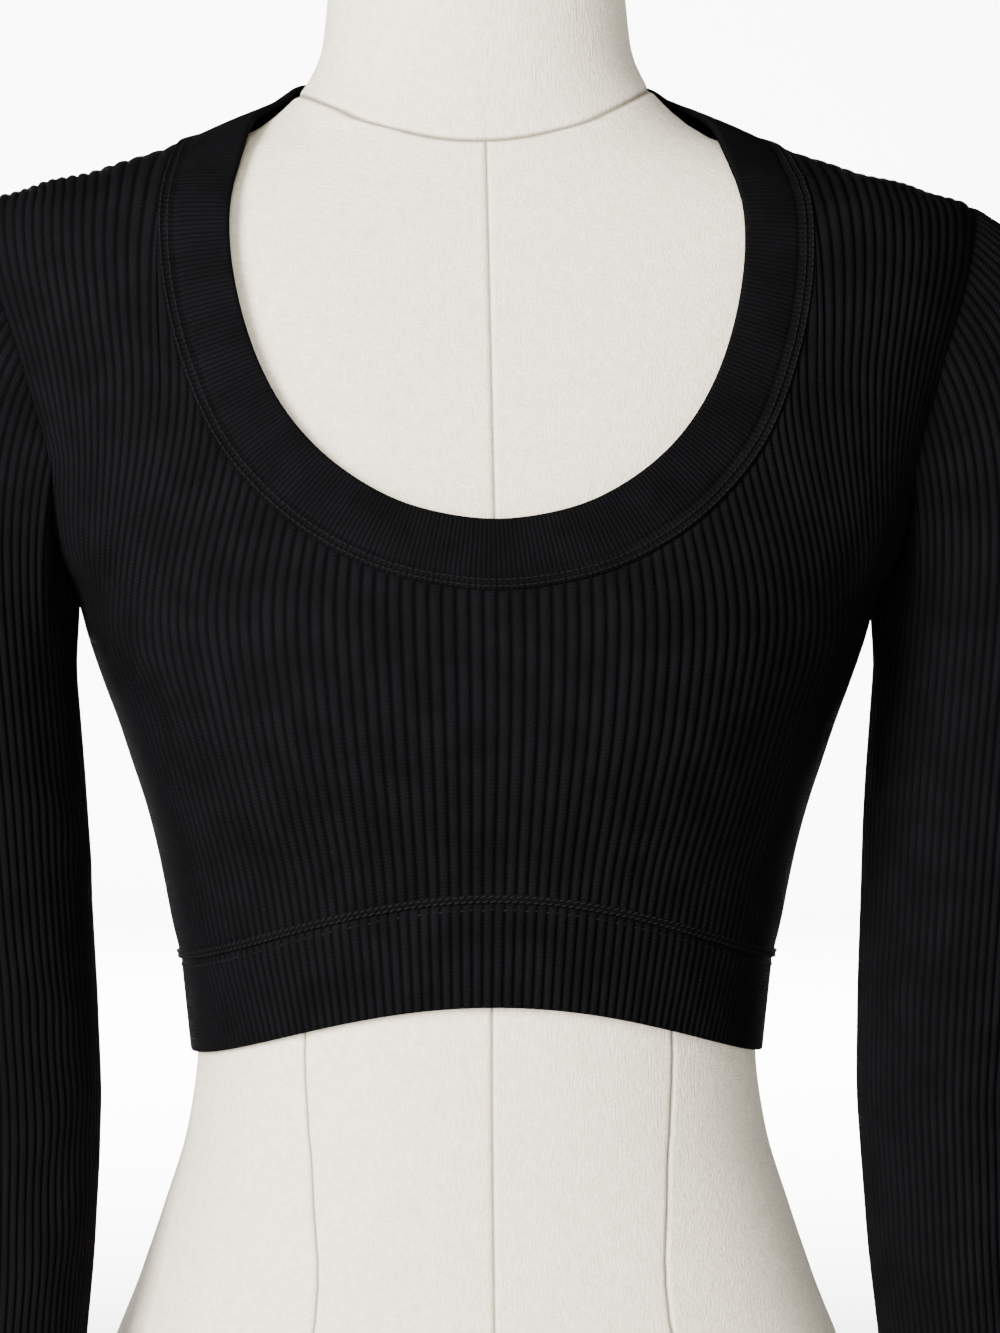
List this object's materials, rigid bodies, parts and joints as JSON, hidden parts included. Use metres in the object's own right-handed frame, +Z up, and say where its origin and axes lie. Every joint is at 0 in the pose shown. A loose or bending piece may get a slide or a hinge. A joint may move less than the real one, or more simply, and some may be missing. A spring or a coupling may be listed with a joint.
{
  "type": "crop top on a limbless dress form",
  "caption": "Long-sleeved rib-knit crop top with a scoop neckband and a hem band, shown on a limbless linen dress form that stands on its flat base.",
  "frame": {"origin": "centre of the dress form's flat base", "axes": "+Z up the body, -Y to the front, +X to the viewer's right"},
  "size_m": [0.4986, 0.2408, 0.694],
  "materials": {
    "rib_knit": "matte",
    "band_knit": "matte",
    "form_linen": "matte"
  },
  "bodies": {
    "root": {"front": "rib_knit", "back": "rib_knit", "sleeve_right": "rib_knit", "sleeve_left": "rib_knit", "hem_band": "rib_knit", "neckband": "band_knit", "dress_form": "form_linen"}
  },
  "joints": []
}
